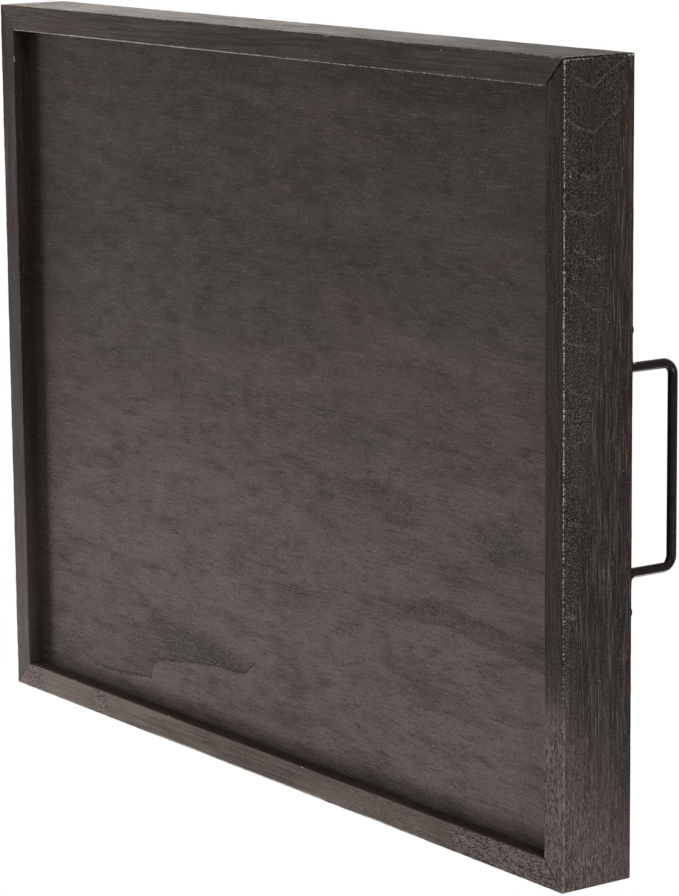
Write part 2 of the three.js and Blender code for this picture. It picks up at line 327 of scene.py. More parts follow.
def sanded_away(along, depth, height, half_run, seed):
    """How far each point lies inside the sawn size: a sanding's depth and a slight ripple, with round
    hollows where the rail was dinged. The groove stays as it was sawn."""
    away = SANDED_OFF + FACE_RIPPLE * rolling(along, depth + 2 * height, seed + 9, *RIPPLE_WAVES)
    draw = np.random.default_rng(seed + 20)
    for _ in range(DINGS):
        centre = np.array([draw.uniform(-1, 1) * half_run, *draw.uniform(0, 1, 2)])
        centre[1:] *= RAIL_THICKNESS, RAIL_HEIGHT
        size, hollow = draw.uniform(*DING_RADIUS), draw.uniform(*DING_DEPTH)
        apart = np.stack([along, depth, height], -1) - centre
        away = away + hollow * np.exp(-(apart ** 2).sum(-1) / size ** 2)
    in_groove = depth < RAIL_THICKNESS - 0.5 * ARRIS_RADIUS
    in_groove &= (height > panel_low.z - HAIR) & (height < panel_high.z + 2 * GROOVE_HEADROOM)
    in_groove &= depth > RAIL_THICKNESS - GROOVE_DEPTH - HAIR
    return np.where(in_groove, 0, np.maximum(away, HAIR))


def section_wear(ring, worn, lean):
    """Wear on the sawn section: it dies away from each arris. On the outer lower arris it may lean in under
    the rail, with a dark band beyond it. Painted shade, as wear below zero, also lies on the lip under the
    panel."""
    worn_from = RAIL_CORNERS.copy()
    worn_from[0] += lean, 0
    nearness = np.linalg.norm(ring[:, :, None] - worn_from, axis=-1)
    wear = (np.exp(-(nearness / WEAR_REACH) ** 2) * worn[:, None]).sum(-1)
    depth, height = ring[..., 0], ring[..., 1]
    # a dark band beyond the leaning wear
    beyond = (depth < DARK_BAND_REACH[0] * lean) & (height < DARK_BAND_REACH[1] * lean)
    wear -= np.where(beyond, DARK_BAND * np.clip(worn[:, :1] - DARK_BAND_FROM, 0, 1), 0)
    # painted shade on the lip under the panel
    lip = (depth > RAIL_THICKNESS - LIP_FACE) & (height < panel_low.z + HAIR)
    return wear - np.where(lip, LIP_SHADE * smooth(height, *LIP_RISE), 0)


def tip_wear(along, depth, height, half_run, tips):
    """Wear on the upright corners at a rail's two ends, strongest at the foot and then at the rim."""
    from_end = half_run - np.abs(along)
    corner = np.exp(-(from_end / TIP_REACH[0]) ** 2 - (depth / TIP_REACH[1]) ** 2)
    ends = np.exp(-height / TIP_FOOT) + TIP_HEAD_SHARE * np.exp(-(RAIL_HEIGHT - height) / TIP_HEAD)
    return corner * (TIP_LEAST + ends) * np.where(along > 0, tips[1], tips[0])


def worn_rail(half_run, opens, wear_and_shade_knots, lean, chips, tips, seed):
    """A rail along its own run, as points (stations, ring, (along, depth, height)) and the wear on each;
    wear below zero is darkening, partly painted shade.

    The section is carried from mitre to mitre: every ring point stops at half_run less its own depth and
    less the joint's opening. The faces are then sanded inwards, square to the section, and near the ends
    the outer face follows the rounded corner."""
    count = int(2 * half_run / RAIL_STEP)
    ends = 1 - END_STEPS / half_run
    place = np.unique(np.concatenate([np.linspace(-1, 1, count), ends, -ends]))
    radii, worn = arris_state(place * half_run, wear_and_shade_knots, chips, seed)
    ring = rail_section(radii)
    depth, height = ring[..., 0], ring[..., 1]
    tip = CORNER_RADIUS * (1 - np.sqrt(0.5))
    stop = half_run - np.maximum(depth, tip)
    low_open, high_open = (joint_opening(opening, depth, height) for opening in opens)
    along = place[:, None] * np.where(place[:, None] > 0, stop - high_open, stop - low_open)

    tangent = np.roll(ring, -1, 1) - np.roll(ring, 1, 1)
    inward = np.stack([-tangent[..., 1], tangent[..., 0]], -1)
    inward /= np.linalg.norm(inward, axis=-1, keepdims=True)
    away = sanded_away(along, depth, height, half_run, seed)
    depth = depth + away * inward[..., 0]
    height = height + away * inward[..., 1]
    past = np.clip(np.abs(along) - (half_run - CORNER_RADIUS), 0, CORNER_RADIUS)
    depth = np.maximum(depth, CORNER_RADIUS - np.sqrt(CORNER_RADIUS ** 2 - past ** 2))

    wear = section_wear(ring, worn, lean * MM) + tip_wear(along, depth, height, half_run, tips)
    return np.stack([along, depth, height], -1), wear


def lay_rail(points, side):
    """Turns a rail's own run into the tray's frame: side names the edge that its outer face lies on."""
    along, depth, height = np.moveaxis(points, -1, 0)
    x, y = {
        "front": (along, depth - TRAY_HALF_WIDTH),
        "back": (along, TRAY_HALF_WIDTH - depth),
        "left": (depth - TRAY_HALF_LENGTH, along),
        "right": (TRAY_HALF_LENGTH - depth, along),
    }[side]
    return np.stack([x, y, height], -1)


def glue_line(end, edge, opening):
    """The glue in a mitre: a flat ring of depth and height, carried across the joint from one rail's end
    face to the other's. It keeps between the brads and the groove, and spreads above them to the rim."""
    deep = GLUE_DEPTHS
    high = RAIL_HEIGHT - GLUE_DROPS
    gap = GLUE_FILL * joint_opening(opening, deep, high)
    x = end * (TRAY_HALF_LENGTH - deep - np.stack([gap, 0 * gap]))
    y = edge * (TRAY_HALF_WIDTH - deep - np.stack([0 * gap, gap]))
    return skin(np.stack([x, y, np.stack([high, high])], -1))


# Panel

def veneered_panel():
    """A thin slab: a flat ring, under and over, carried along X. Its faces lift and dip by a smooth random
    warp that dies away at the edges held in the rails' grooves."""
    across = np.linspace(panel_low.y, panel_high.y, PANEL_POINTS)
    along = np.linspace(panel_low.x, panel_high.x, PANEL_STATIONS)[:, None]
    free = smooth(panel_high.y - np.abs(across), *PANEL_HELD)
    free = free * smooth(panel_high.x - np.abs(along), *PANEL_HELD)
    warp = PANEL_WARP * free * (0.5 + 0.25 * rolling(along, across, 71, *PANEL_WAVES))
    under = np.stack(np.broadcast_arrays(along, across, panel_low.z + warp), -1)
    over = np.stack(np.broadcast_arrays(along, across, panel_high.z - warp), -1)
    return np.concatenate([under, over[:, ::-1]], 1)


# Handles and their screws

def handle_stations():
    """Half a handle's middle line and section, from the tip of one eye to the middle of the bar.

    Rows are (y, z above the rim, slope, half width, half height): the eye's round end, the taper from the
    flat eye to the round rod, the bend up into the leg, and the bend into the bar."""
    eye = GRIP_HALF_SPAN + EYE_OFFSET
    seat_end = SCREW_HEAD_RADIUS + EYE_SEAT
    taper_end = EYE_OFFSET - FOOT_BEND

    out = np.sqrt(EYE_RADIUS ** 2 - EYE_FLAT ** 2) * np.cos(np.linspace(0, np.pi / 2, EYE_STEPS)[:-1])
    flat = np.full_like(out, EYE_FLAT)
    round_end = np.stack([-eye - out, flat, 0 * out, np.sqrt(EYE_RADIUS ** 2 - out ** 2), flat])

    run = np.linspace(0, taper_end, TAPER_STEPS)
    wide = EYE_RADIUS + (ROD_RADIUS - EYE_RADIUS) * smooth(run, 0, taper_end)
    high = EYE_FLAT + (ROD_RADIUS - EYE_FLAT) * smooth(run, seat_end, taper_end)
    taper = np.stack([-eye + run, high, 0 * run, wide, high])

    slope = np.linspace(0, np.pi / 2, BEND_STEPS)
    rod = np.full_like(slope, ROD_RADIUS)
    foot = np.stack([
        -GRIP_HALF_SPAN - FOOT_BEND + FOOT_BEND * np.sin(slope),
        ROD_RADIUS + FOOT_BEND - FOOT_BEND * np.cos(slope),
        slope, rod, rod,
    ])[:, 1:]
    turn = slope[::-1]
    grip = np.stack([
        -GRIP_HALF_SPAN + GRIP_BEND - GRIP_BEND * np.sin(turn),
        GRIP_RISE - GRIP_BEND + GRIP_BEND * np.cos(turn),
        turn, rod, rod,
    ])
    bar_y = np.linspace(-GRIP_HALF_SPAN + GRIP_BEND, 0, BAR_STEPS)[1:]
    full = np.full_like(bar_y, ROD_RADIUS)
    bar = np.stack([bar_y, full * 0 + GRIP_RISE, bar_y * 0, full, full])
    return np.concatenate([round_end, taper, foot, grip, bar], 1).T


def rod_handle(plane_x):
    """The handle's section carried along its middle line: two half circles of the section's height, joined
    by flats, stand square to the line. The second half mirrors the first."""
    half = handle_stations()
    other = half[-2::-1] * (-1, 1, -1, 1, 1)
    y, z, slope, wide, high = np.concatenate([half, other]).T[:, :, None]
    turn = np.linspace(-np.pi / 2, np.pi / 2, ROD_POINTS)
    side = np.repeat([1.0, -1.0], len(turn))[None]
    turn = np.concatenate([turn, turn[::-1]])[None]
    across = side * (wide - high + high * np.cos(turn))
    up = high * np.sin(turn)
    x = plane_x + across + 0 * y
    return np.stack([x, y - up * np.sin(slope), RAIL_HEIGHT + z + up * np.cos(slope)], -1)


def turned(radius, turn, height):
    """Points of a profile turned about an upright axis. Its radius and height may vary with the turn."""
    return np.stack(np.broadcast_arrays(radius * np.cos(turn), radius * np.sin(turn), height), -1)


def cross_screw(x, y):
    """A round-head wood screw: a profile turned about its axis, from the middle of the cross to the point.

    The cross is two tapered slots taken out of the dome, and the thread is a ridge whose height follows
    a triangle wave of the distance down the shank less the turn."""
    turn = np.linspace(0, 2 * np.pi, SCREW_SIDES, endpoint=False)[None]
    ring = np.linspace(0.02, 1, DOME_STEPS)[:, None]
    radius = SCREW_HEAD_RADIUS * np.sin(ring * np.pi / 2)
    dome = SCREW_HEAD_HEIGHT - SCREW_HEAD_RIM
    top = SCREW_HEAD_RIM + dome * np.cos(ring * np.pi / 2)
    u, v = np.abs(radius * np.cos(turn)), np.abs(radius * np.sin(turn))

    def slot(length, width):
        open_long = 1 - smooth(length, CROSS_SPAN - 5 * CROSS_WALL, CROSS_SPAN)
        return open_long * (1 - smooth(width, CROSS_WIDTH - CROSS_WALL, CROSS_WIDTH + CROSS_WALL))

    cut = np.maximum(slot(u, v), slot(v, u))
    head = turned(radius, turn, top - CROSS_DEPTH * cut)
    rim_radius = np.array([1, 1, SCREW_CORE / SCREW_HEAD_RADIUS * 1.3])[:, None] * SCREW_HEAD_RADIUS
    rim_height = np.array([0.6, 0, 0])[:, None] * SCREW_HEAD_RIM
    rim = turned(rim_radius, turn, rim_height)

    down = np.linspace(0, SCREW_LENGTH - SCREW_TIP, SHANK_STEPS)[1:, None]
    phase = down / SCREW_PITCH - turn / (2 * np.pi)
    ridge = np.clip(1 - THREAD_RISE * np.abs(phase - np.round(phase)), 0, 1)
    ridge = ridge * smooth(down, SCREW_PLAIN, SCREW_PLAIN + SCREW_PITCH)
    draw_in = np.clip((SCREW_LENGTH - down) / SCREW_POINT, 0, 1)
    shank = turned(draw_in * (SCREW_CORE + (SCREW_CREST - SCREW_CORE) * ridge), turn, -down)

    seat = np.array([x, y, RAIL_HEIGHT + 2 * EYE_FLAT])
    poles = (seat + (0, 0, SCREW_HEAD_HEIGHT - CROSS_DEPTH), seat - (0, 0, SCREW_LENGTH))
    return skin(np.concatenate([head, rim, shank]) + seat, poles)


def filler_plug(x, y_face, outward, z):
    """A pat of wood filler over a sunk brad: a flat disc with a soft rim, turned about the brad's line and
    standing a hair proud of the sanded face."""
    turn = np.linspace(0, 2 * np.pi, FILLER_SIDES, endpoint=False)[None]
    share = np.array([0.25, 0.55, 0.8, 0.92, 1, 1, 0.9])[:, None]
    lift = np.array([1, 0.9, 0.8, 0.55, 0, -0.5, -1])[:, None]
    depth = np.where(lift > 0, lift * FILLER_PROUD, lift * FILLER_DEPTH)
    wobble = 1 + 0.08 * np.cos(2 * turn + x / MM) + 0.05 * np.cos(3 * turn + z / MM)
    radius = FILLER_RADIUS * share * wobble
    face = y_face - outward * SANDED_OFF
    points = np.stack(np.broadcast_arrays(
        x + radius * np.cos(turn), face + outward * depth + 0 * turn, z + radius * np.sin(turn)), -1)
    return skin(points, ((x, face + outward * FILLER_PROUD, z), (x, face - outward * FILLER_DEPTH, z)))


# Plain helpers for materials

def tone(red, green, blue):
    """A colour as it shows on a screen, out of 255, as the linear light that a shader takes."""
    share = np.array([red, green, blue]) / 255
    linear = np.where(share <= 0.04045, share / 12.92, ((share + 0.055) / 1.055) ** 2.4)
    return (*linear.tolist(), 1.0)


class Steps:
    """A tree of shader nodes, built a step at a time. A value fed to a step is a number, a colour or the
    output of another step."""

    def __init__(self, owner):
        owner.use_nodes = True
        self.tree = owner.node_tree
        self.tree.nodes.clear()

    def add(self, kind, inputs, **settings):
        made = self.tree.nodes.new(kind)
        for key, value in settings.items():
            setattr(made, key, value)
        for key, value in inputs.items():
            self.feed(made.inputs[key], value)
        return made

    def feed(self, socket, value):
        if isinstance(value, bpy.types.NodeSocket):
            self.tree.links.new(value, socket)
        else:
            socket.default_value = value

    def math(self, operation, *values):
        return self.add("ShaderNodeMath", dict(enumerate(values)), operation=operation).outputs[0]

    def times(self, value, *others):
        """The product of all the values."""
        for other in others:
            value = self.math("MULTIPLY", value, other)
        return value


class Finish(Steps):
    """The look of one material, with its patterns drawn in millimetres."""

    def __init__(self, name):
        self.material = bpy.data.materials.new(name)
        super().__init__(self.material)

    def place(self, turn=0.0, offset=(0, 0, 0)):
        """Object coordinates in millimetres, turned about Z and shifted."""
        where = self.add("ShaderNodeTexCoord", {}).outputs["Object"]
        return self.add("ShaderNodeMapping", {
            "Vector": where, "Location": offset, "Rotation": (0, 0, turn), "Scale": (1000, 1000, 1000),
        }).outputs["Vector"]

    def stretch(self, where, along, across, height=None):
        """Millimetre coordinates counted in cells of the given lengths."""
        cells = (1 / along, 1 / across, 1 / (height or across))
        return self.add("ShaderNodeVectorMath", {0: where, 1: cells}, operation="MULTIPLY").outputs["Vector"]

    def noise(self, where, detail=2.0, rough=0.55, bend=0.0):
        return self.add("ShaderNodeTexNoise", {
            "Vector": where, "Scale": 1.0, "Detail": detail, "Roughness": rough, "Distortion": bend,
        }).outputs[0]

    def sway(self, where, reach, along, across):
        """Coordinates pushed sideways by a slow noise, so that what is drawn on them wanders."""
        x, y, z = self.split(where)
        slow = self.math("SUBTRACT", self.noise(self.stretch(where, along, across), 1), 0.5)
        y = self.math("MULTIPLY_ADD", slow, reach, y)
        z = self.math("MULTIPLY_ADD", slow, 0.6 * reach, z)
        return self.add("ShaderNodeCombineXYZ", {0: x, 1: y, 2: z}).outputs[0]

    def specks(self, where, apart, radius):
        """Rare round grains: 1 near points scattered about the given distance apart, in millimetres."""
        near = self.add("ShaderNodeTexVoronoi", {
            "Vector": self.stretch(where, apart, apart), "Scale": 1.0}, feature="F1").outputs["Distance"]
        return self.ease(near, radius / apart, 0.55 * radius / apart)

    def near(self, along, across, centre, reach):
        """1 close to a centre, dying away over the reach in millimetres."""
        off_along = self.math("POWER", self.math("SUBTRACT", along, centre[0]), 2.0)
        off_across = self.math("POWER", self.math("SUBTRACT", across, centre[1]), 2.0)
        return self.ease(self.math("SQRT", self.math("ADD", off_along, off_across)), reach, 0.3 * reach)

    def traced(self, value, knots):
        """The height of a line of straight runs through the knots, read off over value."""
        starts, heights = np.array(knots, dtype=float).T
        low, high = heights.min() - 1, heights.max() + 1
        share = self.add("ShaderNodeMapRange", {
            "Value": value, "From Min": starts[0], "From Max": starts[-1]}).outputs[0]
        line = self.add("ShaderNodeFloatCurve", {"Value": share})
        curve = line.mapping.curves[0]
        places = (starts - starts[0]) / (starts[-1] - starts[0])
        levels = (heights - low) / (high - low)
        curve.points[0].location = (places[0], levels[0])
        curve.points[1].location = (places[-1], levels[-1])
        for spot in zip(places[1:-1], levels[1:-1]):
            curve.points.new(*spot)
        for point in curve.points:
            point.handle_type = "VECTOR"
        line.mapping.update()
        return self.add("ShaderNodeMapRange", {
            "Value": line.outputs[0], "To Min": low, "To Max": high}).outputs[0]

    def within(self, value, start, end, soft):
        """1 between start and end, dying away over a soft length outside them."""
        rise = self.ease(value, start - soft, start + soft)
        return self.times(rise, self.ease(value, end + soft, end - soft))

    def ease(self, value, low, high, start=0.0, end=1.0):
        """Runs smoothly from start to end as value goes from low to high."""
        return self.add("ShaderNodeMapRange", {
            "Value": value, "From Min": low, "From Max": high, "To Min": start, "To Max": end,
        }, interpolation_type="SMOOTHSTEP").outputs[0]

    def blend(self, share, under, over):
        made = self.add("ShaderNodeMix", {}, data_type="RGBA", clamp_factor=True)
        self.feed(made.inputs[0], share)
        self.feed(made.inputs[6], under)
        self.feed(made.inputs[7], over)
        return made.outputs[2]

    def tint(self, colour, over, *shares):
        """The colour with another laid over it, as strongly as the product of the shares says."""
        return self.blend(self.times(*shares), colour, over)

    def split(self, where):
        return self.add("ShaderNodeSeparateXYZ", {0: where}).outputs

    def bump(self, height, distance, strength=1.0):
        return self.add("ShaderNodeBump", {
            "Height": height, "Distance": distance, "Strength": strength}).outputs["Normal"]

    def surface(self, **inputs):
        names = {key.replace("_", " "): value for key, value in inputs.items()}
        shader = self.add("ShaderNodeBsdfPrincipled", names)
        self.add("ShaderNodeOutputMaterial", {"Surface": shader.outputs[0]})
        return self.material


# Wood finishes, with their patterns' lengths in millimetres

WOOD_SHEEN = 0.05
RAIL_RELIEF = 0.18 * MM
PANEL_RELIEF = 0.1 * MM
SAW_PITCH = 3.2  # along the rail between the saw's marks
SAW_SLANT = 1.3
RING_PITCH = 19  # along the rail between ring lines
RING_FOLD = 16.0  # height on the rail where the ring lines turn back
RING_SLOPE = 0.42
RING_WANDER = 18.0

# Tones of the rails
DEEP_STAIN = (54, 46, 42)
MIDDLE_STAIN = (72, 63, 58)
REDDISH_STAIN = (72, 56, 51)
OLIVE_STAIN = (60, 57, 51)
PALE_END_AND_LIGHT = (99, 87, 83)
PALE_STREAK_AND_HIGHLIGHT = tone(112, 101, 95)
DARK_STREAK = tone(31, 26, 23)
RAISED_THREAD_AND_HIGHLIGHT = tone(134, 123, 116)
SUNK_THREAD = tone(28, 23, 21)
PALE_GRAIN_AND_HIGHLIGHT = tone(132, 123, 115)
DARK_GRAIN = tone(26, 22, 19)
RING_LINE = tone(118, 111, 103)
PALE_FLECK = tone(150, 136, 130)
DARK_FLECK = tone(36, 30, 28)
PORE_GROUND = tone(166, 147, 141)
OPEN_PORE = tone(29, 24, 22)
SAW_MARK = tone(40, 34, 32)
RAIL_DUST = tone(206, 198, 184)
BARE_WOOD = tone(216, 208, 190)
STAIN_AND_PAINTED_SHADE = tone(12, 10, 9)

# Tones of the panel
DEEP_VENEER = tone(62, 55, 50)
MIDDLE_VENEER = tone(75, 66, 61)
PALE_LEAF_AND_LIGHT = tone(128, 112, 108)
RUBBED_VENEER = tone(140, 124, 119)
REDDISH_VENEER = tone(92, 73, 68)
OLIVE_VENEER = tone(74, 70, 62)
BAND_HOLLOW = tone(56, 49, 46)
BAND_CROWN = tone(130, 117, 112)
DARK_MOTTLE = tone(52, 45, 41)
TONGUE_STAIN = tone(50, 43, 40)
TONGUE_RIM = tone(27, 22, 20)
TONGUE_GLOW = tone(136, 124, 115)
SEAM_STAIN = tone(54, 47, 44)
THIN_STREAK = tone(42, 36, 33)
DARK_CURL = tone(42, 36, 34)
PALE_CURL = tone(108, 100, 94)
RAISED_FIBRE = tone(138, 125, 119)
SUNK_FIBRE = tone(36, 30, 28)
DARK_DASH = tone(30, 25, 23)
PANEL_DUST = tone(176, 168, 160)


def ring_lines(wood, p, along, height):
    """Thin lines across a rail where its rings surface: the crests of a sine along the run, folded into
    chevrons at one height and bent by a slow noise."""
    folded = wood.math("ABSOLUTE", wood.math("SUBTRACT", height, RING_FOLD))
    bowed = wood.math("MULTIPLY_ADD", folded, -RING_SLOPE, along)
    bowed = wood.math("MULTIPLY_ADD", wood.noise(wood.stretch(p, 48, 30), 1), RING_WANDER, bowed)
    crest = wood.math("SINE", wood.times(bowed, 2 * np.pi / RING_PITCH))
    return wood.ease(crest, 0.96, 0.998)


def saw_marks(wood, along, across, drift):
    """Slanting marks of a saw: the upper half of a sine along a slant, pushed about by a drift."""
    phase = wood.math("MULTIPLY_ADD", across, -SAW_SLANT, wood.math("ADD", drift, along))
    return wood.ease(wood.math("SINE", wood.times(phase, 2 * np.pi / SAW_PITCH)), 0.0, 1.0)


def stained_rail(name, turn, offset, zone, pale, dark, figure, pores=(), saw=None):
    """Dark stained hardwood. Straight pale and dark streaks run along the rail. Below a slanted line, where
    the face lies flat to the rings, a fine grain and thin ring lines take their place. Figure says how
    strongly both show. The pale streaks, raised threads and pale grain are partly the wood's own and partly
    painted highlight, where the raised grain catches the light. One end may be paler and flecked; that
    paling is partly the wood's own and partly painted light, lighter towards the lamps. Stretches of the
    underside may show open pores or the marks of a saw, and worn arrises show bare wood. Dark gives the
    depth of the stain under the rail and on its other faces; on the front rail its lift below is painted
    light, for the light from below and in front."""
    wood = Finish(name)
    along, across, height = wood.split(wood.place(turn))
    p = wood.sway(wood.place(turn, offset), 4.0, 120, 50)
    underside = wood.ease(height, 1.6, 0.5)

    cloud = wood.noise(wood.stretch(p, 75, 14), 3)
    warm = wood.noise(wood.stretch(p, 30, 7), 3, 0.6)
    lines = wood.noise(wood.stretch(p, 42, 0.8), 3, 0.65)
    threads = wood.noise(wood.stretch(p, 12, 0.5), 2, 0.7)
    ripple = wood.noise(wood.stretch(p, 0.5, 0.55), 1, 0.6, 0.4)
    clumps = wood.noise(wood.stretch(p, 6, 4), 2)
    flecks = wood.noise(wood.stretch(p, 3.2, 0.7), 2, 0.65)

    level, slant, soft = zone
    border = wood.math("MULTIPLY_ADD", along, slant, level)
    wobble = wood.math("MULTIPLY_ADD", wood.noise(wood.stretch(p, 26, 7), 2), 10.0, -5.0)
    below = wood.math("ADD", wood.math("SUBTRACT", border, height), wobble)
    flat_cut = wood.ease(below, -soft, soft)
    straight = wood.math("SUBTRACT", 1.0, flat_cut)

    # Stain tone below and elsewhere; on the front rail the lift below is painted light, for the light from
    # below and in front
    def stain(red, green, blue):
        under, elsewhere = (tone(red * r, green * g, blue * b) for r, g, b in dark)
        return wood.blend(underside, elsewhere, under)

    colour = wood.blend(wood.ease(cloud, 0.36, 0.64), stain(*DEEP_STAIN), stain(*MIDDLE_STAIN))
    colour = wood.blend(wood.ease(warm, 0.52, 0.70, 0.0, 0.35), colour, stain(*REDDISH_STAIN))
    colour = wood.blend(wood.ease(warm, 0.46, 0.30, 0.0, 0.35), colour, stain(*OLIVE_STAIN))
    # Paler towards one end: partly the wood's own paling, partly painted light, lighter towards the lamps
    start, end, strength, skew, lifts = pale
    paler = wood.ease(wood.math("MULTIPLY_ADD", height, skew, along), start, end, 0.0, strength)
    under, elsewhere = (tone(*np.multiply(PALE_END_AND_LIGHT, lift)) for lift in lifts)
    colour = wood.blend(paler, colour, wood.blend(underside, elsewhere, under))

    streaky = wood.ease(straight, 0.0, 1.0, 0.15, 1.0)
    shaded = wood.ease(straight, 0.0, 1.0, 0.15, 0.65 * figure)
    thready = wood.ease(straight, 0.0, 1.0, 0.35, 1.0)
    # Pale streaks and raised threads: partly the wood's own, partly painted highlight where the raised grain
    # catches the light
    colour = wood.tint(colour, PALE_STREAK_AND_HIGHLIGHT, wood.ease(lines, 0.53, 0.70), streaky, 0.5 * figure)
    colour = wood.tint(colour, DARK_STREAK, wood.ease(lines, 0.48, 0.32), shaded)
    sunk = wood.ease(threads, 0.47, 0.30, 0.0, 0.25 + 0.2 * figure)
    colour = wood.tint(colour, SUNK_THREAD, sunk, thready)
    proud = wood.ease(threads, 0.53, 0.70, 0.0, 0.2 + 0.2 * figure)
    colour = wood.tint(colour, RAISED_THREAD_AND_HIGHLIGHT, proud, thready)

    # The grain also shows on the pale end, and most low on the face and towards the front or left
    grainy = wood.math("MAXIMUM", wood.ease(flat_cut, 0.0, 1.0, 0.3, 1.0), wood.times(paler, 0.9))
    low_down = wood.times(wood.ease(height, 0.2, 1.2, 0.45, 1.0), wood.ease(height, 14, 1, 1.0, 1.35))
    grainy = wood.times(grainy, low_down, wood.ease(along, 110, 20, 1.0, 1.5))
    # Pale grain: partly the wood's own, partly painted highlight on the raised grain
    raised = wood.times(wood.ease(ripple, 0.51, 0.66), wood.ease(clumps, 0.30, 0.62, 0.75, 1.0), grainy)
    colour = wood.tint(colour, PALE_GRAIN_AND_HIGHLIGHT, raised, 0.40 * figure)
    colour = wood.tint(colour, DARK_GRAIN, wood.ease(ripple, 0.49, 0.34), grainy, 0.68 * figure)
    rings = wood.times(ring_lines(wood, p, along, height), wood.ease(ripple, 0.40, 0.60), flat_cut)
    colour = wood.tint(colour, RING_LINE, rings, wood.ease(height, 0.5, 3.0, 0.0, 0.5 * figure))
    colour = wood.tint(colour, DARK_FLECK, paler, wood.ease(flecks, 0.49, 0.34, 0.0, 0.7 * figure))
    colour = wood.tint(colour, PALE_FLECK, paler, wood.ease(flecks, 0.53, 0.68, 0.0, 0.45 * figure))

    relief = wood.math("MULTIPLY_ADD", raised, 0.5, wood.math("MULTIPLY_ADD", lines, 0.6, threads))
    if pores:
        wavy = wood.noise(wood.stretch(p, 2.3, 0.45), 2, 0.6, 0.9)
        pits = wood.times(wood.ease(wavy, 0.52, 0.42), wood.ease(clumps, 0.28, 0.48, 0.35, 1.0))
        for first, last, share in pores:
            ground = wood.times(wood.within(along, first, last, 9.0), underside, share)
            colour = wood.tint(colour, PORE_GROUND, ground, 0.65)
            opened = wood.times(ground, pits)
            colour = wood.tint(colour, OPEN_PORE, opened, 0.95)
            relief = wood.math("MULTIPLY_ADD", opened, -1.5, relief)
    if saw:
        drift = wood.math("MULTIPLY_ADD", clumps, 1.5, wood.times(cloud, 8.0))
        sawn = wood.times(wood.within(along, *saw, 12.0), underside, wood.ease(warm, 0.40, 0.58))
        marks = wood.times(saw_marks(wood, along, across, drift), sawn)
        colour = wood.tint(colour, SAW_MARK, marks, 0.52)
        relief = wood.math("MULTIPLY_ADD", marks, -0.6, relief)
    colour = wood.tint(colour, RAIL_DUST, wood.specks(p, 17, 0.45), 0.8)

    wear = wood.add("ShaderNodeAttribute", {}, attribute_name="wear").outputs["Fac"]
    crumble = wood.noise(wood.stretch(p, 0.6, 0.7), 1, 0.6)
    ragged = wood.math("ADD", wear, wood.math("MULTIPLY_ADD", crumble, 2.0, -1.0))
    colour = wood.tint(colour, BARE_WOOD, wood.ease(ragged, 0.38, 0.85), 0.9)
    # Wear below zero is laid dark: partly stain and partly painted shade on the rim arrises, painted shade
    # on the lip under the panel, and a dark band beyond leaning wear
    stain_and_shade = wood.ease(wear, -0.1, -0.5)
    colour = wood.tint(colour, STAIN_AND_PAINTED_SHADE, stain_and_shade, 0.9)

    rough = wood.math("MAXIMUM", stain_and_shade, wood.ease(lines, 0.35, 0.65, 0.78, 0.54))
    uneven = wood.bump(relief, RAIL_RELIEF, 0.8)
    return wood.surface(Base_Color=colour, Roughness=rough, Specular_IOR_Level=WOOD_SHEEN, Normal=uneven)


# Marks of the veneer, as (along, across)
TONGUE_UNDER = [(10, -128), (17, -128), (25, -133.5), (34, -135), (45, -134.5), (66, -137), (87, -140),
                (102, -142), (107, -146), (109, -153), (123, -154), (139, -156), (158, -156), (205, -155)]
TONGUE_OVER = [(10, -131), (17, -128), (26, -126), (44, -123.5), (65, -117.5), (110, -106), (205, -92)]
SEAM_LINE = [(-216, -75), (-179, -73), (-159, -71), (-136, -68), (-119, -69), (-91, -73), (-55, -79)]
STREAK_LINE = [(-125, 79), (-73, 75), (-33, 73), (20, 71), (70, 70), (150, 65)]
KNOT = (58, 60)
KNOT_REACH = 22.0
RUBBED_CORNER = (-195, -150)
RUBBED_REACH = 120.0


def veneer_marks(wood, colour, p, along, across, under, fibres):
    """Lays the marks of this one sheet over the colour of its underside: a dark tongue of figure with a
    sharp lower edge, a seam, a thin streak, and curls round a pin knot."""
    ragged = wood.math("SUBTRACT", wood.noise(wood.stretch(p, 5, 1.2), 3, 0.65), 0.5)

    def past(line, roughness):
        """How far a spot lies beyond a traced line, with the line made ragged."""
        off = wood.math("SUBTRACT", across, wood.traced(along, line))
        return wood.math("MULTIPLY_ADD", ragged, roughness, off)

    rise = past(TONGUE_UNDER, 3.0)
    tongue = wood.times(wood.ease(rise, -0.4, 0.8), wood.ease(rise, 36.0, 0.0, 0.30, 0.92), under)
    tongue = wood.times(tongue, wood.ease(past(TONGUE_OVER, 10.0), 7.0, -10.0))
    tongue = wood.times(tongue, wood.ease(fibres, 0.62, 0.40, 0.72, 1.0))
    tongue = wood.times(tongue, wood.ease(along, 8, 14), wood.ease(along, 160, 60, 0.35, 1.0))
    colour = wood.blend(tongue, colour, TONGUE_STAIN)
    rim = wood.times(wood.within(rise, 0.2, 1.2, 0.6), wood.within(along, 16, 165, 4.0))
    colour = wood.tint(colour, TONGUE_RIM, rim, under, 0.85)
    glow = wood.times(wood.within(rise, -1.6, -0.6, 0.6), wood.within(along, 104, 172, 5.0))
    colour = wood.tint(colour, TONGUE_GLOW, glow, under, 0.6)

    seam = wood.within(past(SEAM_LINE, 6.0), -12.0, -0.8, 1.2)
    colour = wood.tint(colour, SEAM_STAIN, seam, wood.ease(along, -60, -130), under, 0.55)
    thin = wood.within(past(STREAK_LINE, 9.0), -0.9, 0.5, 0.9)
    colour = wood.tint(colour, THIN_STREAK, thin, wood.within(along, -105, 60, 20.0), under, 0.5)

    curls = wood.noise(wood.stretch(p, 3.4, 1.3), 2, 0.6, 1.4)
    knot = wood.times(wood.near(along, across, KNOT, KNOT_REACH), under)
    colour = wood.tint(colour, DARK_CURL, wood.ease(curls, 0.46, 0.34), knot, 0.8)
    return wood.tint(colour, PALE_CURL, wood.ease(curls, 0.56, 0.68), knot, 0.6)


